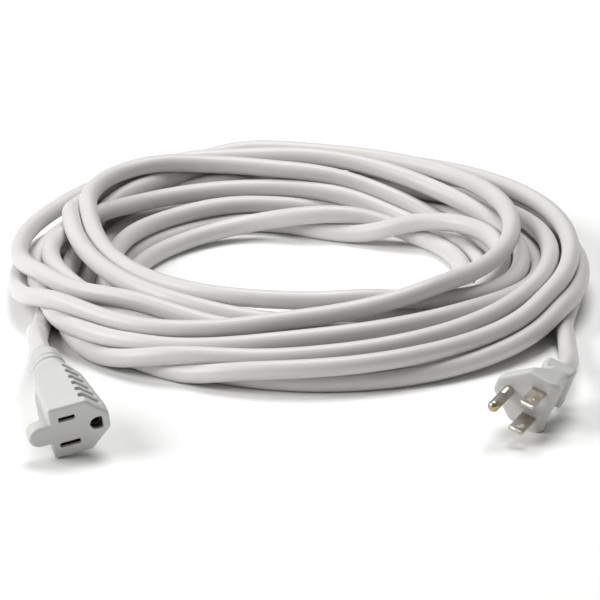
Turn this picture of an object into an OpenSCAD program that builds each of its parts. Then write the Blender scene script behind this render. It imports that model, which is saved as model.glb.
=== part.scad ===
// Household extension cord, coiled for storage: a moulded three-pin plug, a moulded
// single-outlet connector, and one round three-conductor cord between them.
// Millimetres, +Z up. The origin is the middle of the coil, on the surface it lies on.

/* [Cord] */
// Outside diameter of the cord's jacket
cord_d = 8; // [7.6:0.1:8.6]
// Diameter over the insulation of one conductor
wire_d = 3; // [2.6:0.1:3.2]
// Diameter of one bundle of copper strands
copper_d = 1.5; // [1.1:0.1:1.7]

/* [Coil] */
// Outside diameter of the coil
coil_outer_d = 250; // [240:1:252]
// Diameter of the open eye of the coil
coil_eye_d = 136; // [120:1:150]
// Height of the heap of turns
coil_h = 27; // [16:1:30]
// Rounding of the heap's edges
coil_round = 8; // [4:0.5:9]

/* [Contact pattern] */
// Distance between the two flat blades
blade_pitch = 12.7; // [12.6:0.1:12.8]
// Distance from the blades' line to the ground pin
ground_offset = 11.9; // [11.8:0.1:12]
// Width of a flat blade
blade_w = 6.35; // [6.2:0.05:6.5]
// Thickness of a flat blade
blade_t = 1.5; // [1.4:0.05:1.6]
// Length of a blade outside the plug
blade_len = 17.5; // [16:0.1:18]
// Diameter of the ground pin
pin_d = 4.75; // [4.7:0.01:4.8]
// Length of the ground pin outside the plug
pin_len = 20.9; // [19:0.1:21]

/* [Connector] */
// Height of the connector's face across the two slots
face_h = 25; // [24:0.5:26]
// Distance from the slots' line to the flat side
flat_side = 7.5; // [7:0.1:8]
// Distance from the slots' line to the ground side
ground_side = 17.7; // [17.5:0.1:18.5]
// Reach of the thumb tab beyond the flat side
tab_reach = 9.4; // [6:0.1:11]
// Thickness of the thumb tab across the face
tab_h = 9.7; // [8:0.1:11]
// Length of the connector from its face to the end of its strain relief
connector_len = 56; // [54:1:60]
// Distance from the slots' line to the cord's axis
connector_axis = 3.3; // [3:0.1:5]

/* [Plug] */
// Height of the plug's face across the two blades
plug_h = 24; // [23:0.5:25]
// Distance from the blades' line to the flat side
plug_flat = 7.4; // [7:0.1:8]
// Distance from the blades' line to the ground side
plug_ground = 18.3; // [18:0.1:19]
// Distance from the face to the back of the finger flange
plug_len = 29; // [28:1:33]
// Width of the finger flange
flange_w = 14; // [13:0.5:16]
// Height of the finger flange
flange_h = 17.5; // [16:0.5:19]

/* [Resting places] */
// Where the connector's slots' line stands on the floor plan
connector_xy = [-94, -196];
// Turn of the connector about the vertical
connector_yaw = 17; // [10:1:25]
// Dip of the connector's face towards the floor
connector_pitch = 13.5; // [8:0.5:16]
// Roll of the connector about its own axis
connector_roll = 11; // [5:1:15]
// Where the plug's blades' line stands on the floor plan
plug_xy = [96.5, -166];
// Turn of the plug about the vertical
plug_yaw = -21; // [-30:1:-10]
// Roll of the plug about its own axis
plug_roll = 159; // [150:1:165]

/* [Hidden] */
$fn = 48;

WHITE = [0.91, 0.91, 0.9];
INSERT = [0.07, 0.07, 0.07];
NICKEL = [0.78, 0.76, 0.72];
BRASS = [0.8, 0.66, 0.36];
COPPER = [0.8, 0.47, 0.3];
LINE_COLOR = [0.08, 0.08, 0.08];
NEUTRAL_COLOR = [0.93, 0.93, 0.92];
GROUND_COLOR = [0.1, 0.45, 0.2];

cut = 0.01;                     // overlap that keeps a cut clean
blade_y = blade_pitch / 2;
half_face = face_h / 2;
half_plug = plug_h / 2;

// Connector, along its own axis from the face backwards
plate_z = -6.5;                 // back of the straight front part
waist_z = -31;                  // end of the tapered grip
neck_z = -42;                   // start of the round neck
neck_r = 6.8;
relief_wall = 0.6;              // moulding round the cord where it comes out
ridge_w = 7;                    // low ridge behind the thumb tab
ridge_rise = 2.7;
front_chamfer = 8.8;
waist_chamfer = 7;
edge_r = 1.2;                   // rounding of the connector's long edges
face_skin = 1.6;                // moulding in front of the contact block
block_z = -19.5;                // back of the contact block
cap_z = -24;                    // back of the block's cap
crimp_z = -24.8;                // where the connector's crimps begin
connector_jacket_z = -38;       // where the jacket ends inside the connector
groove_count = 6;
groove_pitch = 5.2;
groove_w = 2.4;
groove_depth = 1.2;
groove_x = 7;                   // inner end of the grip grooves

// Plug, along its own axis from the face backwards
plug_bevel = 2.2;               // slope between the plug's face and its flat side
GRIP_STATIONS = [               // depth, flat side, ground side, half height
    [0, plug_bevel - plug_flat, plug_ground, half_plug],
    [-1.8, -plug_flat, plug_ground, half_plug], [-3, -plug_flat, plug_ground, half_plug],
    [-8, -6.3, 17.8, 11.2], [-14, -5.6, 14, 9.6], [-20, -5.2, 9.6, 8.3]
];
chamfer_run = 0.44;             // share of the plug's width cut off towards the pin
chamfer_rise = 0.75;            // share of its half height cut off there
flange_t = 5.5;
flange_chamfer = 1.5;
flange_edge_r = 0.8;
plug_axis = 0.5;                // from the blades' line to the cord's axis
plug_neck_z = -37;              // end of the plug's strain relief
plug_jacket_z = -24;            // where the jacket ends inside the plug
pin_root_r = 2.1;               // ground pin inside the moulding
bridge_front_z = -2.5;
bridge_back_z = -8.5;
plug_crimp_z = -11;             // where the plug's crimps begin

crimp_len = 5.5;
crimp_r = 1.35;
strip_len = 1.2;                // bare copper between crimp and insulation

lay_r = 1.09 * wire_d / sqrt(3); // centre of each conductor inside the jacket
LAY_ANGLES = [110, 250, 0];     // line, neutral, ground

// Connector's slots
slot_w = 2.1;
line_slot = 7.1;
neutral_slot = 8.7;

// Routes of the two un-coiled stretches, after the straight part in each strain relief
CONNECTOR_ROUTE = [
    [-108.6, -134.4, 28.2], [-109.8, -125.5, 28], [-110.3, -116.6, 25.9],
    [-110.6, -107.9, 22.3], [-110.8, -99.4, 18], [-110.9, -90.9, 13.6],
    [-110.9, -82.3, 9.7], [-110.9, -73.3, 6.7], [-110.8, -63.9, 4.8],
    [-110.5, -54.2, 4], [-110, -44.5, 4]
];
PLUG_ROUTE = [
    [111.5, -123.6, 12.8], [112.8, -114.8, 11.4], [113.2, -105.1, 9.2], [113.4, -95.1, 6.9],
    [113.5, -84.7, 5.2], [113.5, -73.8, 4.3], [113.2, -62.8, 4], [112.5, -50.9, 4]
];

// ---- Placing -------------------------------------------------------------------------

function rot_x(a, v) = [v.x, v.y * cos(a) - v.z * sin(a), v.y * sin(a) + v.z * cos(a)];
function rot_z(a, v) = [v.x * cos(a) - v.y * sin(a), v.x * sin(a) + v.y * cos(a), v.z];
function turned(yaw, pitch, roll, v) = rot_z(yaw, rot_x(90 + pitch, rot_z(roll, v)));

// Height of an end's own origin that puts a rounded corner of its face on the floor
function lift(yaw, pitch, roll, centre, r) =
    r * cos(pitch) - turned(yaw, pitch, roll, centre).z;

connector_z = lift(connector_yaw, connector_pitch, connector_roll,
    [edge_r - flat_side, edge_r - half_face, 0], edge_r);
plug_corner_r = 2.5;
plug_z = lift(plug_yaw, 0, plug_roll,
    [plug_corner_r - plug_flat, half_plug - plug_corner_r, 0], plug_corner_r);

module place_connector() {
    translate([connector_xy.x, connector_xy.y, connector_z])
        rotate([0, 0, connector_yaw])
            rotate([90 + connector_pitch, 0, 0])
                rotate([0, 0, connector_roll])
                    children();
}

module place_plug() {
    translate([plug_xy.x, plug_xy.y, plug_z])
        rotate([0, 0, plug_yaw])
            rotate([90, 0, 0])
                rotate([0, 0, plug_roll])
                    children();
}

function on_connector(v) = [connector_xy.x, connector_xy.y, connector_z]
    + turned(connector_yaw, connector_pitch, connector_roll, v);
function on_plug(v) = [plug_xy.x, plug_xy.y, plug_z] + turned(plug_yaw, 0, plug_roll, v);

// ---- Shared shapes -------------------------------------------------------------------

// Straight round bar between two points
module bar(from, to, r) {
    d = to - from;
    translate(from)
        rotate([0, acos(d.z / norm(d)), atan2(d.y, d.x)])
            cylinder(h = norm(d), r = r);
}

function unit(v) = v / norm(v);
function along(from, to, distance) = from + distance * unit(to - from);
function past(from, to) = to + 1.5 * unit(to - from);

// Points of a closed outline whose corners are rounded, listed anticlockwise
function rounded(corners, r, steps = 4) = [
    for (i = [0:len(corners) - 1])
        let (p = corners[i],
             a = unit(corners[(i + len(corners) - 1) % len(corners)] - p),
             b = unit(corners[(i + 1) % len(corners)] - p),
             half = acos(a * b) / 2,
             centre = p + unit(a + b) * r / sin(half),
             start = p + a * r / tan(half) - centre)
        for (k = [0:steps])
            let (turn = (180 - 2 * half) * k / steps)
            centre + [start.x * cos(turn) - start.y * sin(turn),
                      start.x * sin(turn) + start.y * cos(turn)]];

// Where one conductor leaves the jacket: index 0 line, 1 neutral, 2 ground
function lay_point(axis_x, z, index) =
    [axis_x + lay_r * cos(LAY_ANGLES[index]), lay_r * sin(LAY_ANGLES[index]), z];

// One crimp barrel, from the terminal's back end towards the jacket
module crimp(terminal, jacket) {
    difference() {
        bar(along(terminal, jacket, -0.4), along(terminal, jacket, crimp_len), crimp_r);
        core(terminal, jacket);
    }
}

// Keeps only what lies in front of the jacket's end
module before_jacket(jacket) {
    difference() {
        children();
        translate([-20, -20, jacket.z - 10]) cube([60, 40, 10]);
    }
}

// Copper strands from inside the crimp to the jacket's end
module core(terminal, jacket) {
    before_jacket(jacket)
        bar(along(terminal, jacket, 1), past(terminal, jacket), copper_d / 2);
}

module insulation(terminal, jacket) {
    difference() {
        wire_space(terminal, jacket);
        bar(along(terminal, jacket, crimp_len), past(terminal, jacket), copper_d / 2);
    }
}

module wire_space(terminal, jacket) {
    before_jacket(jacket)
        bar(along(terminal, jacket, crimp_len + strip_len), past(terminal, jacket),
            wire_d / 2);
}

// Everything that one conductor takes up behind its terminal
module conductor_space(terminal, jacket) {
    bar(along(terminal, jacket, -0.4), along(terminal, jacket, crimp_len), crimp_r);
    core(terminal, jacket);
    wire_space(terminal, jacket);
}

// Closed solid through a row of rings that all have the same number of points
module skin(rings) {
    n = len(rings[0]);
    last = len(rings) - 1;
    walls = [for (i = [0:last - 1]) for (k = [0:n - 1])
        let (a = i * n + k, b = i * n + (k + 1) % n)
        each [[a, b, b + n], [a, b + n, a + n]]];
    ends = [[for (k = [n - 1:-1:0]) k], [for (k = [0:n - 1]) last * n + k]];
    polyhedron(points = [for (ring = rings) each ring], faces = concat(walls, ends));
}

// Tube along a route: one ring of points at each route point
module tube(route, r, sides = 12) {
    last = len(route) - 1;
    skin([for (i = [0:last])
        let (t = unit(route[min(i + 1, last)] - route[max(i - 1, 0)]),
             side = unit(cross(t, [0, 0, 1])),
             up = cross(side, t))
        [for (k = [0:sides - 1])
            route[i] + r * (cos(360 * k / sides) * side + sin(360 * k / sides) * up)]]);
}

// Outline of both ends: flat on one side, with two chamfers towards the ground side
function housing_outline(left, right, half, run, rise, r) =
    rounded([[left, -half], [right - run, -half], [right, rise - half],
             [right, half - rise], [right - run, half], [left, half]], r);
function at_depth(outline, z) = [for (p = outline) [p.x, p.y, z]];

// ---- Cord ----------------------------------------------------------------------------

module cord_coil() {
    inner = coil_eye_d / 2;
    outer = coil_outer_d / 2;
    color(WHITE)
        rotate_extrude($fn = 96) {
            translate([inner, coil_round])
                square([outer - inner, coil_h - 2 * coil_round]);
            translate([inner + coil_round, 0])
                square([outer - inner - 2 * coil_round, coil_h]);
            for (x = [inner + coil_round, outer - coil_round])
                for (y = [coil_round, coil_h - coil_round])
                    translate([x, y]) circle(r = coil_round);
        }
}

module connector_lead() {
    straight = [for (z = [connector_jacket_z, -47, -connector_len])
        on_connector([connector_axis, 0, z])];
    color(WHITE) tube(concat(straight, CONNECTOR_ROUTE), cord_d / 2);
}

module plug_lead() {
    straight = [for (z = [plug_jacket_z, -30.5, plug_neck_z]) on_plug([plug_axis, 0, z])];
    color(WHITE) tube(concat(straight, PLUG_ROUTE), cord_d / 2);
}

// ---- Connector -----------------------------------------------------------------------

// How far along the tapered grip z lies, from 0 at the front to 1 at the waist
function taper(z) = max(0, min(1, (z - plate_z) / (waist_z - plate_z)));
function grip_left(z) = -flat_side + 1.4 * taper(z);
function grip_right(z) = ground_side - 3.4 * taper(z);
function grip_half(z) = half_face - 2.3 * taper(z);
function grip_chamfer(z) = front_chamfer + (waist_chamfer - front_chamfer) * taper(z);

function grip_outline(z, inset = 0) =
    housing_outline(grip_left(z) + inset, grip_right(z) - inset, grip_half(z) - inset,
        grip_chamfer(z), grip_chamfer(z), edge_r);

module slab(z_low, z_high) {
    translate([0, 0, z_low]) linear_extrude(z_high - z_low) children();
}

module thumb_tab() {
    r = tab_h / 2;
    slab(plate_z, 0) {
        translate([-flat_side - tab_reach + r, -r]) square([tab_reach, tab_h]);
        translate([-flat_side - tab_reach + r, 0]) circle(r = r);
    }
    // low ridge from the tab back along the flat side
    translate([0, ridge_w / 2, 0])
        rotate([90, 0, 0])
            linear_extrude(ridge_w)
                polygon([[-flat_side - ridge_rise, plate_z], [-6, plate_z],
                         [-5, waist_z], [-flat_side + 0.2, waist_z]]);
}

// Round neck with two grip rings, and the short taper that the cord leaves by
module connector_neck() {
    ring_r = neck_r + 0.5;
    translate([connector_axis, 0, 0])
        rotate_extrude()
            polygon([[0, neck_z + 2], [neck_r - 1, neck_z + 2], [neck_r - 0.5, neck_z],
                     [ring_r, neck_z - 1.2],
                     [ring_r, neck_z - 2.6], [neck_r - 0.4, neck_z - 3],
                     [neck_r - 0.4, neck_z - 4], [neck_r, neck_z - 4.4],
                     [neck_r, neck_z - 8.4], [neck_r - 0.7, neck_z - 9.8],
                     [cord_d / 2 + relief_wall + 0.4, neck_z - 10.8],
                     [cord_d / 2 + relief_wall, -connector_len], [0, -connector_len]]);
}

// Round end of the grip, drawn with as many points as the rest of its outline
function neck_outline() =
    let (chamfer = (2 - sqrt(2)) * neck_r)
    housing_outline(connector_axis - neck_r, connector_axis + neck_r, neck_r,
        chamfer, chamfer, neck_r - 0.5);

module connector_shell() {
    skin([at_depth(grip_outline(0), 0), at_depth(grip_outline(plate_z), plate_z),
          at_depth(grip_outline(waist_z), waist_z), at_depth(neck_outline(), neck_z)]);
    thumb_tab();
    connector_neck();
}

module grip_grooves() {
    for (i = [0:groove_count - 1]) {
        z = -4 - i * groove_pitch;
        low = grip_half(z) - grip_chamfer(z) + 2;
        slab(z - groove_w, z)
            for (s = [-1, 1])
                difference() {
                    translate([groove_x, s > 0 ? low : -20]) square([20, 20 - low]);
                    polygon(grip_outline(z - groove_w / 2, groove_depth));
                }
    }
}

// Openings in the face: two slots and the ground hole with its flat outer side
module face_openings() {
    translate([-line_slot / 2, blade_y - slot_w / 2]) square([line_slot, slot_w]);
    translate([-neutral_slot / 2, -blade_y - slot_w / 2]) square([neutral_slot, slot_w]);
    translate([ground_offset, 0]) {
        circle(r = 2.75);
        translate([0, -2.75]) square([2.6, 5.5]);
    }
}

module block_outline() {
    polygon([[-5.8, -9.6], [6.6, -9.6], [15.2, -2.4], [15.2, 2.4], [6.6, 9.6],
             [-5.8, 9.6]]);
}

module cap_outline() {
    polygon([[-4.4, -8.6], [5.6, -8.6], [14.9, -1.8], [14.9, 1.8], [5.6, 8.6],
             [-4.4, 8.6]]);
}

module connector_body() {
    color(WHITE)
        place_connector()
            difference() {
                connector_shell();
                grip_grooves();
                slab(-face_skin - cut, cut) face_openings();
                slab(block_z, -face_skin) block_outline();
                slab(cap_z, block_z + cut) cap_outline();
                contact_tails();
                for (i = [0:2])
                    conductor_space(connector_terminal(i), connector_jacket(i));
                translate([connector_axis, 0, -connector_len - cut])
                    cylinder(h = connector_len + cut + connector_jacket_z, r = cord_d / 2);
            }
}

// Back end of each contact, and where its conductor leaves the jacket
function connector_terminal(index) =
    [[0, blade_y, crimp_z], [0, -blade_y, crimp_z], [9.4, 0, crimp_z]][index];
function connector_jacket(index) = lay_point(connector_axis, connector_jacket_z, index);

contact_front_z = -3;
contact_base_z = -18.6;
leaf_t = 0.5;
barrel_front_z = -4;
barrel_back_z = -14;
barrel_bore = 4.8;
barrel_wall = 0.5;

// Hollows in the contact block: two square wells and the ground pin's round one
module contact_wells() {
    for (s = [-1, 1])
        slab(block_z + 0.4, -face_skin + cut)
            translate([-4.5, s * blade_y - 1.8]) square([9, 3.6]);
    translate([ground_offset, 0, block_z + 0.4])
        cylinder(h = -block_z, r = barrel_bore / 2 + barrel_wall);
}

// Flat tails that pass from the contacts through the block's back wall and its cap
module contact_tails(grow = 0) {
    for (s = [-1, 1])
        slab(crimp_z, contact_base_z)
            translate([-1.2 - grow, s * blade_y - leaf_t / 2 - grow])
                square([2.4 + 2 * grow, leaf_t + 2 * grow]);
    slab(crimp_z, barrel_back_z + 1)
        translate([ground_tail_x - grow, -1.2 - grow])
            square([leaf_t + 2 * grow, 2.4 + 2 * grow]);
}
ground_tail_x = ground_offset - barrel_bore / 2 - barrel_wall;

module connector_contact_block() {
    color(INSERT)
        place_connector()
            difference() {
                slab(block_z, -face_skin) block_outline();
                contact_wells();
                contact_tails(0.02);
            }
}

module connector_block_cap() {
    color(INSERT)
        place_connector()
            difference() {
                slab(cap_z, block_z) cap_outline();
                contact_tails(0.02);
                translate([ground_offset, 0, cap_z + 1]) cylinder(h = 6, r = 2.5);
            }
}

// Two sprung leaves that pinch a blade, joined at the back, with a tail and a crimp
module blade_contact(side, index) {
    color(BRASS)
        place_connector() {
            translate([3, side * blade_y, 0])
                rotate([90, 0, -90])
                    linear_extrude(6)
                        union() {
                            for (s = [-1, 1])
                                polygon([[s * 1.55, contact_front_z],
                                         [s * 1.15, contact_front_z],
                                         [s * 0.6, -6], [s * 0.6, -8],
                                         [s * 1.1, -14], [s * 1.1, contact_base_z],
                                         [s * 1.6, contact_base_z], [s * 1.6, -14],
                                         [s * 1.1, -8], [s * 1.1, -6]]);
                            translate([-1.6, contact_base_z - leaf_t + 0.1])
                                square([3.2, leaf_t]);
                        }
            slab(crimp_z, contact_base_z)
                translate([-1.2, side * blade_y - leaf_t / 2]) square([2.4, leaf_t]);
            crimp(connector_terminal(index), connector_jacket(index));
        }
}

module connector_line_contact() blade_contact(1, 0);
module connector_neutral_contact() blade_contact(-1, 1);

// Split barrel that grips the ground pin, with a tail and a crimp
module connector_ground_contact() {
    color(BRASS)
        place_connector() {
            difference() {
                translate([ground_offset, 0, barrel_back_z])
                    cylinder(h = barrel_front_z - barrel_back_z,
                             r = barrel_bore / 2 + barrel_wall);
                translate([ground_offset, 0, barrel_back_z - cut])
                    cylinder(h = 12, r = barrel_bore / 2);
                slab(barrel_back_z - cut, barrel_front_z + cut)
                    translate([ground_offset, -0.5]) square([5, 1]);
            }
            slab(crimp_z, barrel_back_z + 1)
                difference() {
                    translate([ground_tail_x, -1.2]) square([leaf_t, 2.4]);
                    translate([ground_offset, 0]) circle(r = barrel_bore / 2);
                }
            crimp(connector_terminal(2), connector_jacket(2));
        }
}

module connector_insulation(index, tint) {
    color(tint)
        place_connector() insulation(connector_terminal(index), connector_jacket(index));
}

module connector_core(index) {
    color(COPPER) place_connector() core(connector_terminal(index), connector_jacket(index));
}

module connector_line_insulation() connector_insulation(0, LINE_COLOR);
module connector_neutral_insulation() connector_insulation(1, NEUTRAL_COLOR);
module connector_ground_insulation() connector_insulation(2, GROUND_COLOR);
module connector_line_core() connector_core(0);
module connector_neutral_core() connector_core(1);
module connector_ground_core() connector_core(2);

// ---- Plug ----------------------------------------------------------------------------

function grip_ring(station) =
    at_depth(housing_outline(station[1], station[2], station[3],
        chamfer_run * (station[2] - station[1]), chamfer_rise * station[3],
        plug_corner_r), station[0]);

function flange_ring(z) =
    at_depth(housing_outline(plug_axis - flange_w / 2, plug_axis + flange_w / 2,
        flange_h / 2, flange_chamfer, flange_chamfer, flange_edge_r), z);

module plug_shell() {
    skin([for (station = GRIP_STATIONS) grip_ring(station),
          flange_ring(flange_t - plug_len), flange_ring(-plug_len)]);
    translate([plug_axis, 0, plug_neck_z])
        cylinder(h = 1 - plug_len - plug_neck_z, r1 = cord_d / 2 + 0.8, r2 = 6.5);
}

module plug_body() {
    color(WHITE)
        place_plug()
            difference() {
                plug_shell();
                slab(bridge_back_z, bridge_front_z) bridge_outline();
                blade_shape(-blade_y);
                blade_shape(blade_y);
                pin_shape();
                for (i = [0:2]) conductor_space(plug_terminal(i), plug_jacket(i));
                translate([plug_axis, 0, plug_neck_z - cut])
                    cylinder(h = plug_jacket_z - plug_neck_z + cut, r = cord_d / 2);
            }
}

module bridge_outline() {
    translate([-4.6, -9.4]) square([10, 18.8]);
    translate([5, -3.6]) square([9.9, 7.2]);
}

module plug_blade_bridge() {
    color(INSERT)
        place_plug()
            difference() {
                slab(bridge_back_z, bridge_front_z) bridge_outline();
                blade_shape(-blade_y);
                blade_shape(blade_y);
                pin_shape();
            }
}

// Back end of each pin, and where its conductor leaves the jacket
function plug_terminal(index) =
    [[0, -blade_y, plug_crimp_z], [0, blade_y, plug_crimp_z],
     [ground_offset, 0, plug_crimp_z]][index];
function plug_jacket(index) =
    lay_point(plug_axis, plug_jacket_z, index == 2 ? 2 : 1 - index);

// Blade with a bevelled end, narrowing to a tail behind the bridge
module blade_shape(y) {
    half = blade_w / 2;
    bevel = 1.2;
    translate([0, y, 0])
        intersection() {
            translate([0, blade_t / 2, 0])
                rotate([90, 0, 0])
                    linear_extrude(blade_t)
                        polygon([[-half, blade_len - bevel], [-half, bridge_back_z],
                                 [-1.2, bridge_back_z - 1], [-1.2, plug_crimp_z],
                                 [1.2, plug_crimp_z], [1.2, bridge_back_z - 1],
                                 [half, bridge_back_z], [half, blade_len - bevel],
                                 [half - bevel, blade_len], [bevel - half, blade_len]]);
            translate([-half, 0, 0])
                rotate([90, 0, 90])
                    linear_extrude(blade_w)
                        polygon([[-blade_t / 2, -20], [blade_t / 2, -20],
                                 [blade_t / 2, blade_len - bevel], [0.35, blade_len],
                                 [-0.35, blade_len], [-blade_t / 2, blade_len - bevel]]);
        }
}

module plug_blade(y, index) {
    color(NICKEL)
        place_plug()
            union() {
                difference() {
                    blade_shape(y);
                    translate([0, y + 5, 11.8])
                        rotate([90, 0, 0]) cylinder(h = 10, d = 3.6);
                }
                crimp(plug_terminal(index), plug_jacket(index));
            }
}

module plug_line_blade() plug_blade(-blade_y, 0);
module plug_neutral_blade() plug_blade(blade_y, 1);

module pin_shape() {
    r = pin_d / 2;
    translate([ground_offset, 0, 0]) {
        cylinder(h = pin_len - r, r = r);
        translate([0, 0, bridge_back_z]) cylinder(h = -bridge_back_z, r = pin_root_r);
        translate([0, 0, pin_len - r]) sphere(r = r);
        translate([0, 0, plug_crimp_z]) cylinder(h = 6, r = crimp_r);
    }
}

module plug_ground_pin() {
    color(BRASS)
        place_plug() {
            difference() {
                pin_shape();
                core(plug_terminal(2), plug_jacket(2));
            }
            crimp(plug_terminal(2), plug_jacket(2));
        }
}

module plug_insulation(index, tint) {
    color(tint) place_plug() insulation(plug_terminal(index), plug_jacket(index));
}

module plug_core(index) {
    color(COPPER) place_plug() core(plug_terminal(index), plug_jacket(index));
}

module plug_line_insulation() plug_insulation(0, LINE_COLOR);
module plug_neutral_insulation() plug_insulation(1, NEUTRAL_COLOR);
module plug_ground_insulation() plug_insulation(2, GROUND_COLOR);
module plug_line_core() plug_core(0);
module plug_neutral_core() plug_core(1);
module plug_ground_core() plug_core(2);

cord_coil();
connector_lead();
plug_lead();
connector_body();
connector_contact_block();
connector_block_cap();
connector_line_contact();
connector_neutral_contact();
connector_ground_contact();
connector_line_insulation();
connector_neutral_insulation();
connector_ground_insulation();
connector_line_core();
connector_neutral_core();
connector_ground_core();
plug_body();
plug_blade_bridge();
plug_line_blade();
plug_neutral_blade();
plug_ground_pin();
plug_line_insulation();
plug_neutral_insulation();
plug_ground_insulation();
plug_line_core();
plug_neutral_core();
plug_ground_core();
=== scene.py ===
"""White household extension cord, coiled for storage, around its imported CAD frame.

Lengths in the tables are millimetres; every Blender object is in metres.
"""
import math

import bmesh
import bpy
import numpy as np
from mathutils import Matrix, Vector


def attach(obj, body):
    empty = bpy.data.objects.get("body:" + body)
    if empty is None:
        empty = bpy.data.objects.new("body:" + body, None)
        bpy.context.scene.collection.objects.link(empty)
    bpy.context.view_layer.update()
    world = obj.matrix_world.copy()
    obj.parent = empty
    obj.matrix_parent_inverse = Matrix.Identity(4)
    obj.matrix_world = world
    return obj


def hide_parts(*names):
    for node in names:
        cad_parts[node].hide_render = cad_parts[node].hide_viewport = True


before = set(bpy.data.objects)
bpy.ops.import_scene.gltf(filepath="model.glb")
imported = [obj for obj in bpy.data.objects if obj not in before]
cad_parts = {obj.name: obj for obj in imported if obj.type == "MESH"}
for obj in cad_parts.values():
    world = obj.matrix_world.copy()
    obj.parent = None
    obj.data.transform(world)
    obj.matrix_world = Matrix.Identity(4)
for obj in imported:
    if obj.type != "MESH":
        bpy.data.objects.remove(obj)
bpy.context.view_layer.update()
MM = 0.001

# ---- Camera --------------------------------------------------------------------------

ELEVATION = math.radians(20.5)
DISTANCE = 3.0                  # from the coil's middle, in metres
AIM_RIGHT = 0.0002              # what the camera looks past the middle by, in metres
AIM_DOWN = 0.00304


def add_object(name, data):
    obj = bpy.data.objects.new(name, data)
    bpy.context.collection.objects.link(obj)
    return obj


camera_data = bpy.data.cameras.new("camera")
camera_data.sensor_width = 36
camera_data.lens = 414
camera = add_object("camera", camera_data)
back = Vector((0, -math.cos(ELEVATION), math.sin(ELEVATION)))
up = Vector((0, math.sin(ELEVATION), math.cos(ELEVATION)))
camera.location = back * DISTANCE - up * AIM_DOWN + Vector((AIM_RIGHT, 0, 0))
camera.rotation_euler = (math.pi / 2 - ELEVATION, 0, 0)
bpy.context.scene.camera = camera

# ---- Cord ----------------------------------------------------------------------------

CORD_D = 8.0

# Radius and height of the cord's centre, one row to a turn, at the left, back left,
# back, back right, right, front right, front and front left of the coil
TURNS = [
    [(109.5, 4), (110.5, 4), (112, 4), (113, 4), (113.4, 4), (112, 4), (110, 4), (97, 4)],
    [(83, 12), (86, 9), (88, 10), (103, 8.5), (104.5, 10.5), (96, 16.5), (98.5, 16),
     (118, 9.5)],
    [(114.6, 12), (113, 13), (108.5, 12), (112, 14), (109, 18), (106, 15), (110.5, 12.5),
     (120.5, 4.5)],
    [(100, 11.5), (109, 18), (119, 18), (122, 20), (118.3, 19), (117, 12),
     (121.5, 11), (112.5, 4)],
    [(92.5, 6), (105, 6), (116.5, 10.5), (121, 11.5), (121.8, 11.5), (122, 7),
     (118, 4), (105, 4)],
    [(84, 4), (83, 4), (80.5, 4.5), (85, 11), (89.5, 13), (79, 11), (76, 14),
     (84, 20.5)],
    [(94, 22), (118, 18), (108, 25.5), (100, 17.5), (95.5, 13), (80, 15), (70.5, 22),
     (75.5, 22.5)],
    [(87, 22.5), (115, 25), (97, 20.5), (97.5, 5), (88, 5), (90, 4), (93, 5.5), (95, 13)],
    [(108.5, 19), (101, 16), (94, 14), (89, 4), (80.5, 4), (79, 4), (78, 4), (76, 4)],
    [(76, 4), (75, 4), (72.7, 4), (72.5, 4), (72.5, 4), (74, 10), (84, 13), (93, 16.5)],
    [(121.6, 16), (120.5, 19), (116, 23.5), (107, 24.5), (91, 24.5), (83, 24),
     (85, 19.5), (113, 15)],
    [(122, 7.5), (121, 4.5), (120.5, 4), (121, 4), (121.4, 4)],
]
# More points where two turns wind round each other at the back:
# turn, degrees from the left, radius and height
EXTRA = [
    (5, 72, 84.5, 4), (5, 83, 79, 4), (5, 90, 74.5, 4), (5, 97, 70.5, 4),
    (5, 104, 68.5, 4), (5, 114, 71, 4.5), (5, 125, 75.5, 8.5), (5, 135, 81, 12.5),
    (5, 150, 89.5, 14.5), (5, 165, 91.5, 14),
    (9, 72, 73, 7), (9, 90, 67, 11.5), (9, 106, 70, 12), (9, 121, 76.5, 8),
    (9, 135, 79, 4.5),
]
# The stretches outside the coil, from each end inwards, as in the CAD model
CONNECTOR_ROUTE = [
    (-104.2, -151.5, 24.7), (-106.8, -143.1, 26.8), (-108.6, -134.4, 28.2),
    (-109.8, -125.5, 28), (-110.3, -116.6, 25.9), (-110.6, -107.9, 22.3),
    (-110.8, -99.4, 18), (-110.9, -90.9, 13.6), (-110.9, -82.3, 9.7),
    (-110.9, -73.3, 6.7), (-110.8, -63.9, 4.8), (-110.5, -54.2, 4), (-110, -44.5, 4),
]
PLUG_ROUTE = [
    (107, -137.4, 13.3), (109.3, -131.3, 13.3), (111.5, -123.6, 12.8),
    (112.8, -114.8, 11.4), (113.2, -105.1, 9.2), (113.4, -95.1, 6.9), (113.5, -84.7, 5.2),
    (113.5, -73.8, 4.3), (113.2, -62.8, 4), (112.5, -50.9, 4),
]
FIXED_START = 105.0             # stretches at the two ends that contact never moves, mm
FIXED_END = 80.0
BLEND = 25                      # points over which contact comes in after them
STEP = 4.0                      # spacing of the cord's points, mm
MIN_BEND = 36.0                 # bends tighter than this are opened out, mm
CONTACT = 8.5                   # turns nearer than this push apart, mm
ROUNDS = 250                    # rounds of pushing apart
PULL = 0.02                     # pull back to the wound shape in each round
PAIR_MARGIN = 5.0               # close pairs are found this much wider, mm,
PAIR_ROUNDS = 10                # once in so many rounds


def catmull(points, n):
    """Smooth curve through the points, with n steps between each two."""
    p = np.asarray(points, float)
    q = np.vstack([2 * p[0] - p[1], p, 2 * p[-1] - p[-2]])
    t = (np.arange(n) / n)[:, None]
    parts = []
    for a, b, c, d in zip(q, q[1:], q[2:], q[3:]):
        parts.append(0.5 * (2 * b + (c - a) * t + (2 * a - 5 * b + 4 * c - d) * t ** 2
                            + (3 * b - a - 3 * c + d) * t ** 3))
    return np.vstack(parts + [p[-1:]])


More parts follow.
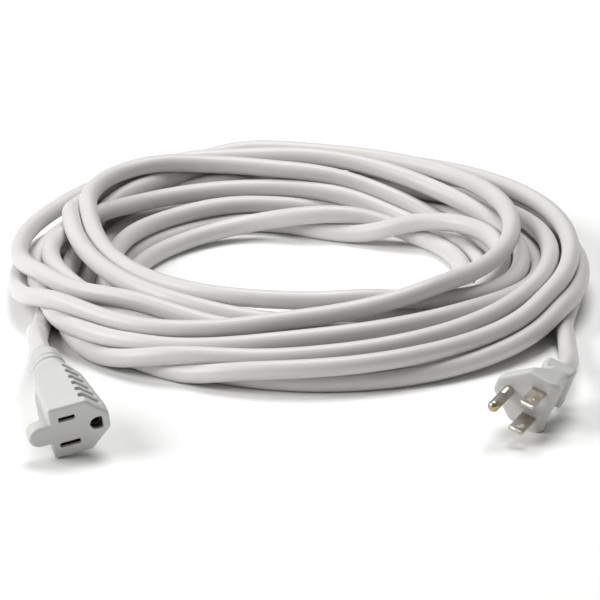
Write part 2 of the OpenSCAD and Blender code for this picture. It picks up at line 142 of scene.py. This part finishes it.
def hermite(x, y, at_x):
    """Smooth curve of y over unevenly spaced x."""
    y = np.array(y, float)
    slope = np.gradient(y, x)
    i = np.clip(np.searchsorted(x, at_x, "right") - 1, 0, len(x) - 2)
    width = (x[i + 1] - x[i]).astype(float)
    t = (at_x - x[i]) / width
    return ((1 + 2 * t) * (1 - t) ** 2 * y[i] + t * (1 - t) ** 2 * width * slope[i]
            + t ** 2 * (3 - 2 * t) * y[i + 1] + t ** 2 * (t - 1) * width * slope[i + 1])


def lengths(p):
    return np.r_[0, np.cumsum(np.linalg.norm(np.diff(p, axis=0), axis=1))]


def resample(p, step):
    s = lengths(p)
    at = np.linspace(0, s[-1], int(round(s[-1] / step)) + 1)
    return np.column_stack([np.interp(at, s, p[:, k]) for k in range(3)])


def bends(p):
    """How sharply the path turns at each inner point."""
    return p[:-2] - 2 * p[1:-1] + p[2:]


def cord_design():
    """Centre line of the whole cord as wound, before its turns push each other apart."""
    points = [point for row in TURNS for point in row]
    knots = {45 * i: point for i, point in enumerate(points)}
    knots.update({360 * n + degrees: (r, z) for n, degrees, r, z in EXTRA})
    travel = np.arange(0, 45 * (len(points) - 1) + 1, 5.0)
    at_knots = np.array(sorted(knots))
    radius, height = (hermite(at_knots, [knots[a][k] for a in at_knots], travel)
                      for k in (0, 1))
    angle = np.radians(180 - travel)
    coil = np.c_[radius * np.cos(angle), radius * np.sin(angle), height]
    p = np.vstack([catmull(CONNECTOR_ROUTE, 4), coil[1:-1],
                   catmull(PLUG_ROUTE[::-1], 4)])
    p = resample(p, 1.0)
    for _ in range(60):
        p[1:-1] += 0.25 * bends(p)
    return resample(p, STEP)


def close_pairs(p, reach):
    """Points of different turns that lie within reach of each other."""
    apart = int(30 / STEP)
    chunk = 400
    first, second = [], []
    for start in range(0, len(p), chunk):
        d2 = ((p[start:start + chunk, None] - p[None]) ** 2).sum(2)
        i, j = np.nonzero(d2 < reach ** 2)
        keep = j > i + start + apart
        first.append(i[keep] + start)
        second.append(j[keep])
    return np.concatenate(first), np.concatenate(second)


def settle(p):
    """Pushes touching turns a diameter apart, on the floor and beside each other."""
    target = p.copy()
    s = lengths(p)
    first = np.searchsorted(s, FIXED_START)
    last = len(p) - 1 - np.searchsorted(s, FIXED_END)
    free = np.ones(len(p))
    free[:first] = 0
    free[last:] = 0
    free[first:first + BLEND] = np.linspace(0, 1, BLEND)
    free[last - BLEND:last] = np.linspace(1, 0, BLEND)
    for n in range(ROUNDS):
        if n % PAIR_ROUNDS == 0:
            i, j = close_pairs(p, CONTACT + PAIR_MARGIN)
        gap = p[j] - p[i]
        length = np.linalg.norm(gap, axis=1)
        near = length < CONTACT
        a, b, gap, length = i[near], j[near], gap[near], length[near]
        push = gap / np.maximum(length, 1e-6)[:, None] * ((CONTACT - length) / 2)[:, None]
        share = np.maximum(free[a] + free[b], 1e-6)
        move = np.zeros_like(p)
        count = np.zeros(len(p))
        np.add.at(move, a, -push * (2 * free[a] / share)[:, None])
        np.add.at(move, b, push * (2 * free[b] / share)[:, None])
        np.add.at(count, a, 1)
        np.add.at(count, b, 1)
        shift = p + move / np.maximum(count, 1)[:, None] - target
        shift[1:-1] += 0.25 * bends(shift)
        p = target + shift * (1 - PULL * free[:, None])
        bend = bends(p)
        tight = np.linalg.norm(bend, axis=1) > STEP ** 2 / MIN_BEND
        p[1:-1] += 0.5 * bend * (tight * free[1:-1])[:, None]
        p[:, 2] = np.maximum(p[:, 2], CORD_D / 2)
    for _ in range(3):
        p[1:-1] += 0.25 * bends(p) * free[1:-1, None]
    return p


def tube(name, path, radius, sides):
    """Closed round tube along a path in metres, with no twist from ring to ring."""
    tangents = np.gradient(path, axis=0)
    tangents /= np.linalg.norm(tangents, axis=1)[:, None]
    side = np.cross(tangents[0], (0, 0, 1))
    around = np.arange(sides) * 2 * math.pi / sides
    rings = []
    for point, tangent in zip(path, tangents):
        side = side - tangent * side.dot(tangent)
        side /= np.linalg.norm(side)
        rise = np.cross(tangent, side)
        rings.append(point + radius * (np.cos(around)[:, None] * side
                                       + np.sin(around)[:, None] * rise))
    return add_object(name, ring_mesh(name, rings))


def ring_mesh(name, rings):
    """Closed skin through rings of equal numbers of points."""
    n = len(rings[0])
    last = (len(rings) - 1) * n
    faces = [tuple(range(n))[::-1], tuple(range(last, last + n))]
    for i in range(len(rings) - 1):
        for k in range(n):
            a, b = i * n + k, i * n + (k + 1) % n
            faces.append((a, b, b + n, a + n))
    mesh = bpy.data.meshes.new(name)
    mesh.from_pydata([tuple(p) for ring in rings for p in ring], [], faces)
    fix = bmesh.new()
    fix.from_mesh(mesh)
    bmesh.ops.recalc_face_normals(fix, faces=fix.faces)
    fix.to_mesh(mesh)
    fix.free()
    return mesh


def smooth(obj, angle=35):
    obj.data.polygons.foreach_set("use_smooth", [True] * len(obj.data.polygons))
    obj.data.set_sharp_from_angle(angle=math.radians(angle))


cord_path = settle(cord_design()) * MM
cord = tube("cord", cord_path, CORD_D / 2 * MM, 20)
smooth(cord, 80)

# ---- Materials -----------------------------------------------------------------------


def material(name, color, roughness, metallic=0.0):
    mat = bpy.data.materials.new(name)
    mat.use_nodes = True
    shader = mat.node_tree.nodes["Principled BSDF"]
    shader.inputs["Base Color"].default_value = (*color, 1)
    shader.inputs["Roughness"].default_value = roughness
    shader.inputs["Metallic"].default_value = metallic
    return mat, shader


def node(mat, kind, **values):
    made = mat.node_tree.nodes.new(kind)
    for key, value in values.items():
        setattr(made, key, value)
    return made


def noise(mat, scale, detail, stretch=(1, 1, 1)):
    """Noise in the object's own coordinates; scale is per metre."""
    link = mat.node_tree.links.new
    place = node(mat, "ShaderNodeTexCoord")
    fit = node(mat, "ShaderNodeMapping")
    fit.inputs["Scale"].default_value = stretch
    link(place.outputs["Object"], fit.inputs["Vector"])
    texture = node(mat, "ShaderNodeTexNoise")
    texture.inputs["Scale"].default_value = scale
    texture.inputs["Detail"].default_value = detail
    link(fit.outputs["Vector"], texture.inputs["Vector"])
    return texture.outputs["Fac"]


def ramp(mat, source, low, high, from_low=0.3, from_high=0.7):
    """Turns a value into a colour between low and high."""
    made = node(mat, "ShaderNodeValToRGB")
    made.color_ramp.elements[0].position = from_low
    made.color_ramp.elements[1].position = from_high
    made.color_ramp.elements[0].color = (*low, 1)
    made.color_ramp.elements[1].color = (*high, 1)
    mat.node_tree.links.new(source, made.inputs["Fac"])
    return made.outputs["Color"]


def mix(mat, factor, a, b, mode="MIX"):
    link = mat.node_tree.links.new
    made = node(mat, "ShaderNodeMix", data_type="RGBA", blend_type=mode)
    # a Mix node's sockets 6 and 7 and its output 2 are the colour ones
    made.inputs[0].default_value = factor
    link(a, made.inputs[6])
    link(b, made.inputs[7])
    return made.outputs[2]


def roughen(mat, shader, source, low, high):
    made = node(mat, "ShaderNodeMapRange")
    made.inputs["To Min"].default_value = low
    made.inputs["To Max"].default_value = high
    mat.node_tree.links.new(source, made.inputs["Value"])
    mat.node_tree.links.new(made.outputs["Result"], shader.inputs["Roughness"])


def bump(mat, shader, layers):
    """layers is a list of (height source, depth in metres), finest last."""
    link = mat.node_tree.links.new
    normal = None
    for source, depth in layers:
        made = node(mat, "ShaderNodeBump")
        made.inputs["Distance"].default_value = depth
        made.inputs["Strength"].default_value = 1.0
        link(source, made.inputs["Height"])
        if normal:
            link(normal, made.inputs["Normal"])
        normal = made.outputs["Normal"]
    link(normal, shader.inputs["Normal"])


def vinyl(name, tone, roughness, grain, scuff, shade_creases=False):
    """Soft white vinyl: faint mottling, fine grain, scuffs and, on mouldings, painted shade
    in creases.
    """
    mat, shader = material(name, tone, roughness)
    link = mat.node_tree.links.new
    cool = tuple(v * 0.93 for v in tone)
    warm = (tone[0], tone[1] * 0.985, tone[2] * 0.95)
    broad = ramp(mat, noise(mat, 38, 3), cool, tone)
    tint = ramp(mat, noise(mat, 90, 2), tone, warm)
    color = mix(mat, 0.35, broad, tint)
    marks = ramp(mat, noise(mat, 420, 6, (1, 1, 2.5)), (1, 1, 1), (0.86, 0.84, 0.81),
                 0.63, 0.74)
    color = mix(mat, scuff, color, marks, "MULTIPLY")
    if shade_creases:
        # painted shade: darkens the colour in hollows, grooves and creases (low
        # pointiness), where shade falls
        shape = node(mat, "ShaderNodeNewGeometry")
        painted_crease_shade = ramp(mat, shape.outputs["Pointiness"], (0.78, 0.76, 0.73), (1, 1, 1),
                     0.44, 0.495)
        color = mix(mat, 0.55, color, painted_crease_shade, "MULTIPLY")
    link(color, shader.inputs["Base Color"])
    shader.inputs["Specular IOR Level"].default_value = 0.45
    shader.inputs["Coat Weight"].default_value = 0.06
    shader.inputs["Coat Roughness"].default_value = 0.3
    roughen(mat, shader, noise(mat, 260, 4), roughness - 0.07, roughness + 0.1)
    bump(mat, shader, [(noise(mat, 160, 2), 0.00008), (noise(mat, 3200, 2), grain)])
    return mat


def metal(name, tone, worn, roughness, brushing, depth):
    """Plated metal, brushed one way, with the plating worn through in places."""
    mat, shader = material(name, tone, roughness, 1.0)
    link = mat.node_tree.links.new
    patches = ramp(mat, noise(mat, 240, 5), tone, worn, 0.5, 0.68)
    streaks = ramp(mat, noise(mat, 900, 3, brushing), (0.82, 0.82, 0.82), (1, 1, 1))
    link(mix(mat, 0.8, patches, streaks, "MULTIPLY"), shader.inputs["Base Color"])
    roughen(mat, shader, noise(mat, 1100, 3, brushing), roughness - 0.08,
            roughness + 0.14)
    bump(mat, shader, [(noise(mat, 1500, 3, brushing), depth)])
    return mat


def strands(name, tone, dark):
    """Bunched copper: fine twisted ridges."""
    mat, shader = material(name, tone, 0.3, 1.0)
    link = mat.node_tree.links.new
    place = node(mat, "ShaderNodeTexCoord")
    wave = node(mat, "ShaderNodeTexWave", bands_direction="DIAGONAL")
    wave.inputs["Scale"].default_value = 900
    wave.inputs["Distortion"].default_value = 1.5
    link(place.outputs["Object"], wave.inputs["Vector"])
    link(ramp(mat, wave.outputs["Fac"], dark, tone, 0.1, 0.8),
         shader.inputs["Base Color"])
    roughen(mat, shader, noise(mat, 900, 3), 0.24, 0.4)
    bump(mat, shader, [(wave.outputs["Fac"], 0.00008)])
    return mat


jacket_vinyl = vinyl("jacket_vinyl", (0.63, 0.62, 0.61), 0.42, 0.000012, 0.55)
# the mouldings get painted shade in their creases
housing_vinyl = vinyl("housing_vinyl", (0.56, 0.56, 0.545), 0.46, 0.00002, 0.6, True)
nylon = vinyl("black_nylon", (0.035, 0.035, 0.035), 0.5, 0.00001, 0.5)
black_vinyl = vinyl("black_vinyl", (0.03, 0.03, 0.03), 0.45, 0.00001, 0.3)
white_vinyl = vinyl("white_vinyl", (0.82, 0.82, 0.8), 0.45, 0.00001, 0.3)
green_vinyl = vinyl("green_vinyl", (0.03, 0.25, 0.08), 0.45, 0.00001, 0.3)
brass = metal("brass", (0.45, 0.34, 0.17), (0.3, 0.21, 0.1), 0.4, (1, 1, 6), 0.00001)
tip_brass = metal("tip_brass", (0.50, 0.42, 0.22), (0.3, 0.24, 0.12), 0.3, (1, 1, 1),
                  0.00001)
nickel = metal("nickel", (0.54, 0.50, 0.44), (0.44, 0.38, 0.28), 0.36, (1, 1, 0.08),
               0.000014)
copper = strands("copper_strands", (0.75, 0.4, 0.25), (0.4, 0.17, 0.09))

# ---- Ends: shapes shared by the connector and the plug -------------------------------


def turn(yaw, pitch, roll, origin):
    """Places an end whose face looks along its own +Z."""
    return (Matrix.Translation(Vector(origin) * MM)
            @ Matrix.Rotation(math.radians(yaw), 4, "Z")
            @ Matrix.Rotation(math.radians(90 + pitch), 4, "X")
            @ Matrix.Rotation(math.radians(roll), 4, "Z")
            @ Matrix.Scale(MM, 4))


ON_CONNECTOR = turn(17, 13.5, 11, (-94, -196, 13.1216))
ON_PLUG = turn(-21, 0, 159, (96.5, -166, 13.125))


def rounded(corners, radii, steps=5):
    """Closed outline with rounded corners, listed anticlockwise."""
    out = []
    for i, (corner, r) in enumerate(zip(corners, radii)):
        p = Vector(corner)
        a = (Vector(corners[i - 1]) - p).normalized()
        b = (Vector(corners[(i + 1) % len(corners)]) - p).normalized()
        half = a.angle(b) / 2
        centre = p + (a + b).normalized() * (r / math.sin(half))
        start = p + a * (r / math.tan(half)) - centre
        for k in range(steps + 1):
            angle = (math.pi - 2 * half) * k / steps
            c, s = math.cos(angle), math.sin(angle)
            out.append(centre + Vector((start.x * c - start.y * s,
                                        start.x * s + start.y * c)))
    return out


def housing_outline(left, right, half, run, rise, r, ground_r=None):
    """Flat on one side, with two chamfers towards the ground side."""
    return rounded([(left, -half), (right - run, -half), (right, rise - half),
                    (right, half - rise), (right - run, half), (left, half)],
                   [r] + 4 * [ground_r or r] + [r])


def at(outline, z):
    return [(p[0], p[1], z) for p in outline]


def lathe(profile, axis_x, sides=64):
    """Rings of a round shape about an axis along z; profile is (radius, z) points."""
    turns = [2 * math.pi * k / sides for k in range(sides)]
    return [[(axis_x + r * math.cos(a), r * math.sin(a), z) for a in turns]
            for r, z in profile]


def boolean(mesh, other, operation):
    """Result of one exact boolean between two closed meshes."""
    a, b = add_object("first", mesh), add_object("second", other)
    modifier = a.modifiers.new("boolean", "BOOLEAN")
    modifier.object, modifier.operation, modifier.solver = b, operation, "EXACT"
    result = bpy.data.meshes.new_from_object(
        a.evaluated_get(bpy.context.evaluated_depsgraph_get()))
    bpy.data.objects.remove(a)
    bpy.data.objects.remove(b)
    return result


def joined(meshes):
    """One mesh of several that don't touch."""
    both = bmesh.new()
    for mesh in meshes:
        both.from_mesh(mesh)
    result = bpy.data.meshes.new("joined")
    both.to_mesh(result)
    both.free()
    return result


def prism(outline, low, high):
    return ring_mesh("prism", [at(outline, low), at(outline, high)])


def baked(obj, placement, angle):
    """Applies an object's modifiers and puts it in its place."""
    obj.data = bpy.data.meshes.new_from_object(
        obj.evaluated_get(bpy.context.evaluated_depsgraph_get()))
    obj.modifiers.clear()
    obj.data.name = obj.name
    obj.data.transform(placement)
    smooth(obj, angle)
    return obj


def moulded(name, mesh, placement):
    """Remeshes a shape evenly and softens its edges as moulded vinyl has them."""
    obj = add_object(name, mesh)
    remesh = obj.modifiers.new("remesh", "REMESH")
    remesh.mode, remesh.voxel_size = "VOXEL", 0.3
    soften = obj.modifiers.new("soften", "SMOOTH")
    soften.factor, soften.iterations = 0.5, 3
    return baked(obj, placement, 60)


def finish_piece(obj, mat, slot, *nodes):
    obj.data.materials.clear()
    obj.data.materials.append(mat)
    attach(obj, "root")
    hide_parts(*nodes)
    return obj


# ---- Connector -----------------------------------------------------------------------

FLAT_SIDE, GROUND_SIDE, HALF_FACE = 7.5, 17.7, 12.5
PLATE_Z, WAIST_Z, NECK_Z = -6.5, -31.0, -42.0
TAB_REACH, TAB_H = 9.4, 9.7
AXIS_X, NECK_R = 3.3, 6.8
CONNECTOR_LEN = 56.0
BLADE_Y, GROUND_X = 6.35, 11.9          # the standard pattern of the blades and pin
GROOVES, GROOVE_PITCH, GROOVE_W, GROOVE_DEPTH = 6, 5.2, 2.4, 1.2
SLOT_H, WIDE_SLOT, NARROW_SLOT = 2.1, 8.7, 7.1
SOCKET_R = 2.75
SKIN = 1.6                              # thickness of the face over the contact block


def grip_size(z):
    """Ground side, half height and chamfer of the grip at depth z, and its taper."""
    t = max(0, min(1, (z - PLATE_Z) / (WAIST_Z - PLATE_Z)))
    return GROUND_SIDE - 3.4 * t, HALF_FACE - 2.3 * t, 8.8 - 1.8 * t, t


def grip(z, inset=0.0):
    """Outline of the connector's grip at depth z."""
    side, half, chamfer, t = grip_size(z)
    return housing_outline(-FLAT_SIDE + 1.4 * t + inset, side - inset, half - inset,
                           chamfer, chamfer, 1.2, 2.6)


def connector_shape():
    face_r = 1.1
    rings = []
    for k in range(5):
        a = math.pi / 2 * k / 4
        rings.append(at(grip(0, face_r * (1 - math.sin(a))), -face_r * (1 - math.cos(a))))
    rings += [at(grip(z), z) for z in (PLATE_Z, WAIST_Z)]
    chamfer = (2 - math.sqrt(2)) * NECK_R
    rings.append(at(housing_outline(AXIS_X - NECK_R, AXIS_X + NECK_R, NECK_R, chamfer,
                                    chamfer, NECK_R - 0.5), NECK_Z))
    body = ring_mesh("grip", rings)

    def tab_outline(inset):
        r = TAB_H / 2 - inset
        end = -FLAT_SIDE - TAB_REACH + TAB_H / 2
        arc = [math.pi / 2 + math.pi * k / 24 for k in range(25)]
        return ([(end + r * math.cos(a), r * math.sin(a)) for a in arc]
                + [(-FLAT_SIDE + 2, -r), (-FLAT_SIDE + 2, r)])

    tab = ring_mesh("tab", [at(tab_outline(i), z) for i, z in (
        (1.0, 0), (0.3, -0.3), (0, -1.0), (0, PLATE_Z + 0.8), (0.8, PLATE_Z))])
    body = boolean(body, tab, "UNION")
    # low ridge behind the tab, fading out towards the neck
    ridge = ring_mesh("ridge", [[(x, y, z) for x, y in (
        (-FLAT_SIDE - h, -3), (-4, -3.6), (-4, 3.6), (-FLAT_SIDE - h, 3))]
        for h, z in ((3.4, PLATE_Z + 0.5), (2.4, PLATE_Z - 3), (0.6, -22),
                     (-1.6, WAIST_Z))])
    body = boolean(body, ridge, "UNION")
    neck = ring_mesh("neck", lathe([
        (NECK_R - 1, NECK_Z + 2), (NECK_R - 0.5, NECK_Z), (7.3, -43.2), (7.3, -44.6),
        (6.4, -45), (6.4, -46), (6.8, -46.4), (6.8, -50.4), (6.5, -51.2),
        (6.0, -51.9), (5.0, -52.8), (4.5, -CONNECTOR_LEN),
        (4.1, -CONNECTOR_LEN)], AXIS_X))
    return boolean(body, neck, "UNION")


def connector_cuts():
    """The grip's grooves, the two slots and the ground hole."""
    cuts = []
    for i in range(GROOVES):
        z = -4 - GROOVE_PITCH * i
        side, half, chamfer, _ = grip_size(z)
        bottom, low = half - GROOVE_DEPTH, half - chamfer + 2
        outline = [(7, bottom), (side - GROOVE_DEPTH - chamfer, bottom),
                   (side - 2 * GROOVE_DEPTH - 2, low), (side + 6, low),
                   (side + 6, half + 6), (7, half + 6)]
        cuts.append(prism(outline, z - GROOVE_W, z))
        cuts.append(prism([(x, -y) for x, y in outline], z - GROOVE_W, z))
    for y, width in ((BLADE_Y, NARROW_SLOT), (-BLADE_Y, WIDE_SLOT)):
        w, h = width / 2, SLOT_H / 2
        cuts.append(prism([(-w, y - h), (w, y - h), (w, y + h), (-w, y + h)], -2, 2))
    arc = [math.radians(a) for a in range(90, 271, 10)]
    hole = [(GROUND_X + SOCKET_R * math.cos(a), SOCKET_R * math.sin(a)) for a in arc]
    hole += [(GROUND_X + 2.6, -SOCKET_R), (GROUND_X + 2.6, SOCKET_R)]
    cuts.append(prism(hole, -2, 2))
    return joined(cuts)


# The room inside the connector that its contact block fills
BLOCK_OUTLINE = [(-5.8, -9.6), (6.6, -9.6), (15.2, -2.4), (15.2, 2.4), (6.6, 9.6),
                 (-5.8, 9.6)]
BLOCK_END = -19.5


def connector_mesh():
    room = prism(BLOCK_OUTLINE, BLOCK_END, -SKIN)
    shape = boolean(connector_shape(), room, "DIFFERENCE")
    return boolean(shape, connector_cuts(), "DIFFERENCE")


connector = moulded("connector_moulding", connector_mesh(), ON_CONNECTOR)
finish_piece(connector, housing_vinyl, "moulded_housing", "connector_body")

# ---- Plug ----------------------------------------------------------------------------

PLUG_AXIS = 0.5
PLUG_FLAT, PLUG_GROUND, PLUG_HALF = 7.4, 18.3, 12
PLUG_BEVEL, BEVEL_DEPTH = 2.2, 1.8      # bevel of the face's flat side
# depth, flat side, ground side, half height
PLUG_STATIONS = [
    (-1.8, -7.4, 18.3, 12), (-3, -7.4, 18.3, 12), (-5.5, -6.9, 18.1, 11.7),
    (-8, -6.3, 17.8, 11.2), (-11, -5.9, 16.1, 10.4), (-14, -5.6, 14, 9.6),
    (-17, -5.3, 11.7, 8.8), (-20, -5.2, 9.6, 8.3),
]


def plug_outline(flat, ground, half, inset=0.0):
    return housing_outline(flat + inset, ground - inset, half - inset,
                           0.44 * (ground - flat), 0.75 * half, 2.5)


def plug_shape():
    face_r = 1.2
    rings = []
    for k in range(5):
        a = math.pi / 2 * k / 4
        depth = face_r * (1 - math.cos(a))
        bevel = PLUG_BEVEL * (1 - depth / BEVEL_DEPTH)
        rings.append(at(plug_outline(bevel - PLUG_FLAT, PLUG_GROUND, PLUG_HALF,
                                     face_r * (1 - math.sin(a))), -depth))
    rings += [at(plug_outline(*row[1:]), row[0]) for row in PLUG_STATIONS]
    body = ring_mesh("plug", rings + [at(plug_outline(-5.0, 8.6, 8), -25)])

    def flange(inset, z):
        return at(housing_outline(PLUG_AXIS - 7 + inset, PLUG_AXIS + 7 - inset,
                                  8.75 - inset, 1.5, 1.5, 1.0), z)

    body = boolean(body, ring_mesh("flange", [
        flange(2.6, -20.6), flange(0.5, -23.2), flange(0, -24), flange(0, -28.2),
        flange(0.8, -29)]), "UNION")
    neck = ring_mesh("neck", lathe([(6.5, -27.5), (6.5, -28.8), (5.6, -31), (4.9, -37),
                                    (4.2, -37)], PLUG_AXIS))
    return boolean(body, neck, "UNION")


plug = moulded("plug_moulding", plug_shape(), ON_PLUG)
finish_piece(plug, housing_vinyl, "moulded_housing", "plug_body")

METAL_ROOT = -9                         # how deep the blades and pin reach into the plug


def blade(name, y, cad_node):
    """Flat blade with a hole, its end bevelled on all four sides."""
    half, thick, length, bevel = 3.175, 0.75, 17.5, 1.2
    hole_z, hole_r, hole_sides = 11.8, 1.8, 40
    section = [(-1, -1), (1, -1), (1, 1), (-1, 1)]
    rings = [[(sx * w, y + sy * t, z) for sx, sy in section] for w, t, z in (
        (half, thick, METAL_ROOT), (half, thick, length - bevel),
        (half - bevel, 0.35, length))]
    circle = [(hole_r * math.cos(a), hole_r * math.sin(a)) for a in
              (2 * math.pi * k / hole_sides for k in range(hole_sides))]
    hole = ring_mesh("hole", [[(x, y + s, hole_z + z) for x, z in circle]
                              for s in (-2, 2)])
    obj = add_object(name, boolean(ring_mesh(name, rings), hole, "DIFFERENCE"))
    edge = obj.modifiers.new("edge", "BEVEL")
    edge.width, edge.segments, edge.limit_method = 0.1, 2, "ANGLE"
    edge.angle_limit = math.radians(30)
    return finish_piece(baked(obj, ON_PLUG, 10), nickel, "blade_nickel", cad_node)


line_blade = blade("line_blade", -BLADE_Y, "plug_line_blade")
neutral_blade = blade("neutral_blade", BLADE_Y, "plug_neutral_blade")


def ground_pin():
    """Round pin with a domed end, where the brass shows through the plating."""
    r, length, brass_end = 2.375, 20.9, 1.3
    dome = [(r * math.cos(a), length - r + r * math.sin(a)) for a in
            (math.pi / 2 * k / 12 for k in range(12))]
    ring_line = [(r, 8), (r - 0.06, 8.1), (r - 0.06, 8.3), (r, 8.4)]
    obj = add_object("ground_pin", ring_mesh("ground_pin", lathe(
        [(r, METAL_ROOT)] + ring_line + dome + [(0.05, length)], GROUND_X)))
    tip = [face.center.z > length - brass_end for face in obj.data.polygons]
    obj.data.transform(ON_PLUG)
    smooth(obj, 40)
    finish_piece(obj, nickel, "pin_brass", "plug_ground_pin")
    obj.data.materials.append(tip_brass)
    obj.data.polygons.foreach_set("material_index", [int(t) for t in tip])
    return obj


pin = ground_pin()

# ---- CAD nodes that stay, with their finishes ----------------------------------------

FINISHES = {
    "connector_contact_block": nylon, "connector_block_cap": nylon,
    "plug_blade_bridge": nylon, "connector_line_contact": brass,
    "connector_neutral_contact": brass, "connector_ground_contact": brass,
}
for end in ("connector", "plug"):
    for conductor, mat in (("line", black_vinyl), ("neutral", white_vinyl),
                           ("ground", green_vinyl)):
        FINISHES[f"{end}_{conductor}_insulation"] = mat
        FINISHES[f"{end}_{conductor}_core"] = copper
for name, mat in FINISHES.items():
    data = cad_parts[name].data
    data.materials.clear()
    data.materials.append(mat)

finish_piece(cord, jacket_vinyl, "cord_jacket", "cord_coil", "connector_lead",
             "plug_lead")

# ---- Floor and light -----------------------------------------------------------------

FLOOR = 4                               # half the floor's width, in metres

floor_mesh = bpy.data.meshes.new("floor")
floor_mesh.from_pydata([(x * FLOOR, y * FLOOR, 0) for x, y in
                        ((-1, -1), (1, -1), (1, 1), (-1, 1))], [], [(0, 1, 2, 3)])
floor = add_object("floor", floor_mesh)
paper, paper_shader = material("paper", (0.9, 0.9, 0.895), 0.8)
bump(paper, paper_shader, [(noise(paper, 900, 3), 0.00002)])
floor_mesh.materials.append(paper)


def area_light(name, place, size, power):
    """Round soft light that looks at the coil's middle."""
    data = bpy.data.lights.new(name, "AREA")
    data.shape, data.size, data.energy = "DISK", size, power
    light = add_object(name, data)
    light.location = place
    light.rotation_euler = (-Vector(place)).to_track_quat("-Z", "Y").to_euler()


area_light("key", (-1.3, -0.35, 0.9), 1.0, 21)
area_light("rim", (0.15, 0.6, 1.7), 1.2, 25)
world = bpy.data.worlds.new("world")
world.use_nodes = True
world.node_tree.nodes["Background"].inputs["Color"].default_value = (1, 1, 1, 1)
world.node_tree.nodes["Background"].inputs["Strength"].default_value = 0.2
bpy.context.scene.world = world
bpy.context.scene.view_settings.view_transform = "Standard"
